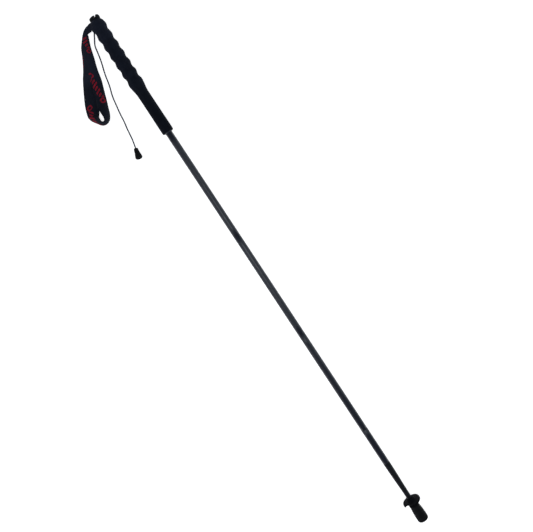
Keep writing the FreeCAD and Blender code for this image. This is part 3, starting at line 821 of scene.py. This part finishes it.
# -------------------------------------------------------------------- strap
# Stations along the webbing: edge 1 (the side towards the loop's gap), edge 2, the
# width there and the thickness, in mm. The upper run goes from the head to the far bend.
UPPER = [
    ((1194.0, 8.2, 1.3), (1183.5, 8.2, 1.3), 10.6, 2.3),
    ((1194.0, 13.0, 1.3), (1183.5, 13.0, 1.3), 10.6, 2.3),
    ((1193.1, 16.9, 0.6), (1181.1, 18.3, 0.0), 11.9, 2.1),
    ((1192.1, 22.9, -1.8), (1182.6, 23.0, -5.6), 12.6, 1.9),
    ((1189.3, 28.0, -3.2), (1183.4, 26.7, -9.6), 13.5, 1.8),
    ((1185.8, 32.3, -4.0), (1181.4, 27.8, -11.6), 14.5, 1.7),
    ((1178.6, 40.4, -6.4), (1174.8, 29.8, -12.0), 16.2, 1.6),
    ((1168.7, 48.6, -7.8), (1161.0, 34.9, -12.2), 19.2, 1.5),
    ((1152.3, 57.4, -9.3), (1142.4, 40.3, -12.2), 22.8, 1.4),
    ((1134.0, 68.5, -10.8), (1120.4, 47.3, -12.2), 26.0, 1.4),
    ((1114.9, 73.9, -11.3), (1102.1, 51.6, -12.9), 26.0, 1.4),
    ((1097.3, 77.8, -10.6), (1085.4, 57.8, -13.5), 26.0, 1.4),
    ((1077.4, 80.4, -7.6), (1067.1, 64.9, -14.1), 26.0, 1.4),
    ((1062.0, 86.5, -2.2), (1052.6, 70.5, -14.3), 26.0, 1.4),
    ((1048.6, 87.3, 3.0), (1042.5, 74.6, -14.5), 26.0, 1.4),
    ((1037.4, 87.1, 7.5), (1035.6, 78.7, -14.6), 26.0, 1.4),
    ((1032.4, 88.4, 8.6), (1031.8, 83.6, -14.7), 26.0, 1.4),
    ((1030.7, 91.6, 8.9), (1030.5, 92.0, -14.7), 26.0, 1.4),
    ((1032.6, 93.7, 8.6), (1033.2, 99.7, -14.7), 26.0, 1.4),
    ((1036.5, 94.2, 7.2), (1039.6, 106.5, -14.7), 26.0, 1.4),
    ((1042.7, 93.9, 3.0), (1047.3, 112.0, -14.6), 26.0, 1.4),
    ((1049.5, 90.5, -6.0), (1056.1, 114.2, -14.5), 26.0, 1.4),
    ((1056.4, 86.5, -10.5), (1066.7, 112.6, -14.3), 26.0, 1.4),
    ((1072.1, 81.1, -13.0), (1082.9, 104.1, -14.2), 26.0, 1.4),
    ((1091.4, 71.0, -14.0), (1103.3, 92.4, -14.2), 26.0, 1.4),
    ((1107.5, 61.3, -14.2), (1120.3, 81.9, -14.0), 26.0, 1.4)]
GAP = 2.1


def catmull(P, n):
    """n points between each pair of rows of P, centripetal on the first six columns."""
    A = np.vstack([2 * P[0] - P[1], P, 2 * P[-1] - P[-2]])
    out = []
    for i in range(1, len(A) - 2):
        p0, p1, p2, p3 = A[i - 1:i + 3]
        k = slice(0, 6)
        t01 = max(np.linalg.norm((p1 - p0)[k]), 1e-6) ** 0.5
        t12 = max(np.linalg.norm((p2 - p1)[k]), 1e-6) ** 0.5
        t23 = max(np.linalg.norm((p3 - p2)[k]), 1e-6) ** 0.5
        m1 = p2 - p1 + t12 * ((p1 - p0) / t01 - (p2 - p0) / (t01 + t12))
        m2 = p2 - p1 + t12 * ((p3 - p2) / t23 - (p3 - p1) / (t12 + t23))
        for q in range(n):
            t = q / n
            out.append((2 * t**3 - 3 * t**2 + 1) * p1 + (t**3 - 2 * t**2 + t) * m1 + (-2 * t**3 + 3 * t**2) * p2 + (t**3 - t**2) * m2)
    out.append(A[-2])
    return np.array(out)


def strap_rows():
    rows = [list(a) + list(b) + [w, t] for a, b, w, t in UPPER]
    R = np.array(rows, float)
    # the lower run follows under the upper one back to the head
    C = (R[:, :3] + R[:, 3:6]) / 2
    T = np.gradient(C, axis=0)
    T /= np.linalg.norm(T, axis=1)[:, None]
    D = R[:, 3:6] - R[:, :3]
    D /= np.linalg.norm(D, axis=1)[:, None]
    N = np.cross(T, D)
    N /= np.linalg.norm(N, axis=1)[:, None]
    back = []
    for k, gap, side in ((9, 1.9, 3.0), (8, 1.9, 2.2), (7, 2.0, 1.5), (6, 2.1, 0.5), (5, 2.2, 0), (4, 2.3, 0), (3, 2.4, 0), (2, 2.5, 0), (1, 2.6, 0), (0, 2.6, 0)):
        off = -N[k] * gap + np.array([0.0, side, 0.0])
        e1, e2 = R[k, 3:6] + off, R[k, :3] + off
        back.append(list(e1) + list(e2) + [R[k, 6], R[k, 7]])
    return np.vstack([R, np.array(back)]), len(R)


def make_strap():
    R, n_upper = strap_rows()
    per = 14
    S = catmull(R, per)
    C = (S[:, :3] + S[:, 3:6]) / 2
    at = np.concatenate([[0], np.cumsum(np.linalg.norm(np.diff(C, axis=0), axis=1))])
    marks = at[::per]
    print("strap stations", [round(float(m), 1) for m in marks])
    T = np.gradient(C, axis=0)
    T /= np.linalg.norm(T, axis=1)[:, None]
    # across: 0 and 1 are the edges
    us = np.concatenate([[0.0, 0.012, 0.035], np.linspace(0.07, 0.93, 15), [0.965, 0.988, 1.0]])
    thick = np.concatenate([[0.0, 0.62, 0.93], np.ones(15), [0.93, 0.62, 0.0]])
    nu = len(us)
    loop_n = 2 * nu - 2
    verts, uvs, areas = [], [], 0.0
    rng = random.Random(7)
    ph = [rng.uniform(0, 6.28) for _ in range(6)]
    for i in range(len(S)):
        e1, e2, w, t = S[i, :3], S[i, 3:6], S[i, 6], S[i, 7]
        D = e2 - e1
        c = float(np.linalg.norm(D))
        D = D / c
        if c > w * 0.998:
            mid = (e1 + e2) / 2
            c = w * 0.998
            e1, e2 = mid - D * c / 2, mid + D * c / 2
        N = np.cross(T[i], D)
        N /= np.linalg.norm(N)
        # half angle of the bow whose arc is w over chord c
        lo, hi = 1e-4, 2.6
        for _ in range(40):
            m = (lo + hi) / 2
            if math.sin(m) / m > c / w:
                lo = m
            else:
                hi = m
        th = (lo + hi) / 2
        Rr = w / (2 * th)
        mid = (e1 + e2) / 2
        top, bot = [], []
        for u, k in zip(us, thick):
            a = (2 * u - 1) * th
            ripple = 0.0 if w < 20 else 0.10 * math.sin(at[i] * 0.16 + ph[0]) * math.cos(3.1 * (u - 0.5)) + 0.05 * math.sin(at[i] * 0.37 + 5 * u + ph[1])
            p = mid + D * (Rr * math.sin(a)) + N * (Rr * (math.cos(a) - math.cos(th)) + ripple)
            nl = N * math.cos(a) + D * math.sin(a)
            rib = 0.045 * math.sin(u * w / 0.9 * math.pi) if 0.06 < u < 0.94 else 0.0
            top.append(p + nl * (t / 2 * k + rib))
            bot.append(p - nl * (t / 2 * k + rib))
        row = top + bot[-2:0:-1]
        ru = [(u - 0.5) * w for u in us] + [(u - 0.5) * w for u in us[-2:0:-1]]
        for p, u in zip(row, ru):
            x, y, z = p
            z = max(z, ground(x) + 0.03)
            verts.append((x * MM, y * MM, z * MM))
            uvs.append((u * MM, at[i] * MM))
        if i:
            areas += (w + S[i - 1, 6]) / 2 * (at[i] - at[i - 1])
    faces = []
    for i in range(len(S) - 1):
        for j in range(loop_n):
            l = (j + 1) % loop_n
            faces.append((i * loop_n + j, i * loop_n + l, (i + 1) * loop_n + l, (i + 1) * loop_n + j))
    faces.append(tuple(reversed(range(loop_n))))
    faces.append(tuple((len(S) - 1) * loop_n + j for j in range(loop_n)))
    m = [float(v) * MM for v in marks]
    # start, length, half height, pitch, lean, offset across, drift across per length
    clusters = [(m[5] + 0.003, 0.031, 0.0040, 0.0062, 0.6, -0.0042, 0.27, 1),
                (m[9] + 0.0065, 0.062, 0.0052, 0.0069, 1.05, -0.0050, 0.105, 2),
                (m[17] - 0.001, m[23] - m[17] - 0.004, 0.0052, 0.0070, -0.7, 0.0042, 0.0, 1),
                (m[26] + 0.004, 0.022, 0.0050, 0.0062, -0.6, 0.0098, 0.0, 0)]
    mat = mat_webbing(clusters, (m[9], m[11], m[24], m[25]))
    ob = new_mesh("wrist_strap_webbing", verts, faces, mat, uvs, 0)
    fix_normals(ob.data)
    ob.data.set_sharp_from_angle(angle=math.radians(80))
    # stitching where the two runs are sewn together at the head
    st_v, st_f = [], []
    thread = Tree("thread")
    fz = thread.noise(thread.obj(), 5000.0, 2, 0.6)
    thread.bump(fz, 0.4, 0.0001)
    thread.set(color=thread.mix(fz, srgb(28, 30, 38), srgb(60, 63, 74)), rough=0.7)
    seg = [k for k in range(len(S)) if marks[2] + 1.5 < at[k] < marks[4]]
    dense = np.linspace(marks[2] + 1.0, marks[4] - 1.0, 9)
    for q in dense:
        k = int(np.argmin(np.abs(at - q)))
        e1, e2, t = S[k, :3], S[k, 3:6], S[k, 7]
        D = (e2 - e1) / np.linalg.norm(e2 - e1)
        N = np.cross(T[k], D)
        N /= np.linalg.norm(N)
        w = np.linalg.norm(e2 - e1)
        bow = bow_height(S[k, 6], w)
        for fr in (0.14, 0.86):
            base = e1 + D * w * fr + N * (t / 2 + bow * 4 * fr * (1 - fr) + 0.05)
            add_stitch(st_v, st_f, base, T[k], N, 2.0, 0.26)
    th_ob = new_mesh("strap_stitching", [tuple(np.array(v) * MM) for v in st_v], st_f, thread.mat, None, 0)
    fix_normals(th_ob.data)
    for o in (ob, th_ob):
        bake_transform(o)
        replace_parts(o, "wrist_strap", "strap_neck") if o is ob else None


def bow_height(w, c):
    if c >= w:
        return 0.0
    lo, hi = 1e-4, 2.6
    for _ in range(40):
        m = (lo + hi) / 2
        if math.sin(m) / m > c / w:
            lo = m
        else:
            hi = m
    return w / (2 * lo) * (1 - math.cos(lo))


def add_stitch(V, F, base, t, n, length, r):
    s = np.cross(t, n)
    start = len(V)
    rings = 7
    for i in range(rings):
        f = i / (rings - 1)
        rad = r * max(0.25, math.sin(math.pi * (0.12 + 0.76 * f)))
        c = base + t * (f - 0.5) * length + n * (-0.25 + 0.35 * math.sin(math.pi * f))
        for j in range(8):
            a = 2 * math.pi * j / 8
            V.append(tuple(c + n * rad * math.cos(a) + s * rad * math.sin(a)))
    for i in range(rings - 1):
        for j in range(8):
            l = (j + 1) % 8
            F.append((start + i * 8 + j, start + i * 8 + l, start + (i + 1) * 8 + l, start + (i + 1) * 8 + j))
    F.append(tuple(start + j for j in reversed(range(8))))
    F.append(tuple(start + (rings - 1) * 8 + j for j in range(8)))


# ------------------------------------------------------- carried-over pieces
def dress_nodes():
    straight = Tree("inner_cord")
    o = straight.obj()
    s = straight.sep(o)
    ang = straight.math("ARCTAN2", s[2], straight.math("ADD", s[1], 0.0002))
    a = straight.math("ADD", straight.math("MULTIPLY", ang, 8 / (2 * math.pi)), straight.math("MULTIPLY", s[0], 8 / 0.0042))
    b = straight.math("SUBTRACT", straight.math("MULTIPLY", ang, 8 / (2 * math.pi)), straight.math("MULTIPLY", s[0], 8 / 0.0042))
    fa = straight.math("ABSOLUTE", straight.math("SUBTRACT", straight.math("FRACT", a), 0.5))
    fb = straight.math("ABSOLUTE", straight.math("SUBTRACT", straight.math("FRACT", b), 0.5))
    h = straight.math("ADD", fa, fb)
    straight.bump(h, 0.6, 0.00018)
    # painted shade: the cord's colour runs from dark in the braid's grooves to light on the raised strands, following
    # the bump height h
    straight.set(color=straight.mix(straight.map(h, 0.2, 0.9, 0.0, 1.0), srgb(60, 62, 66), srgb(124, 128, 134)), rough=0.75, sheen=0.2)
    mats = {"head_plug": M_NYLON, "cord_guide": M_ALU, "strap_pin": M_STEEL, "cord_anchor": M_ALU,
            "tension_cord": straight.mat, "carbide_tip": M_CARBIDE, "foot_washer": M_STEEL}
    for n in (2, 3, 4, 5):
        mats["spigot_%d" % n] = M_RING
        mats["spigot_nose_%d" % n] = M_NYLON
    for name, m in mats.items():
        ob = NODES[name]
        if len(ob.material_slots) == 0:
            ob.data.materials.append(m)
        for sl in ob.material_slots:
            sl.material = m


make_camera()
make_floor()
make_lights()
make_cord()
make_strap()
make_grip()
make_knob()
make_tubes()
make_flex()
make_basket()
make_foot()
dress_nodes()

bpy.context.view_layer.update()
